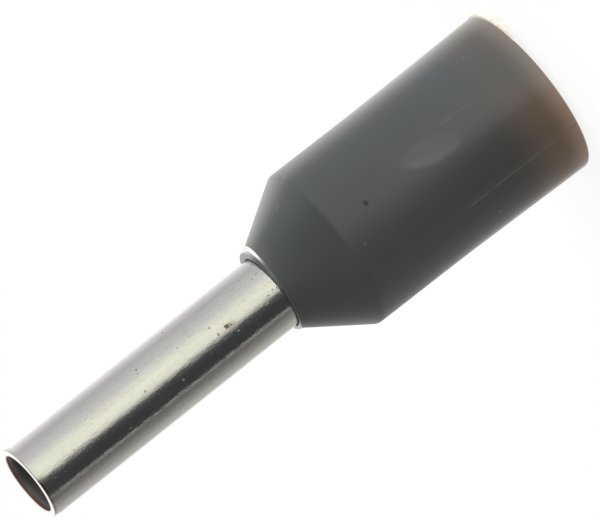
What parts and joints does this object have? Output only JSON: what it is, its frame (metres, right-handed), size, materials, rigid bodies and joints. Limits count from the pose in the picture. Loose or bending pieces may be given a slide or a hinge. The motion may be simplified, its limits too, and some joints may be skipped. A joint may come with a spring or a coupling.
{
  "type": "insulated wire ferrule",
  "caption": "Insulated end sleeve for stranded wire: a plated tube for the strands, flared into a moulded collar that takes the wire's insulation.",
  "frame": {"origin": "centre of the collar's mouth, on the plane of its rim, on which the ferrule stands", "axes": "+Z along the ferrule's axis, from the collar's mouth towards the bare end of the tube; X and Y are free, because both pieces are turned about Z"},
  "size_m": [0.0034, 0.0034, 0.012],
  "materials": {
    "tin_plate": "bright electroplated tin over drawn copper, fine lines along the tube",
    "collar_plastic": "satin moulded polypropylene, dark grey"
  },
  "bodies": {
    "root": {"conductor_tube": "tin_plate", "insulating_collar": "collar_plastic"}
  },
  "joints": []
}
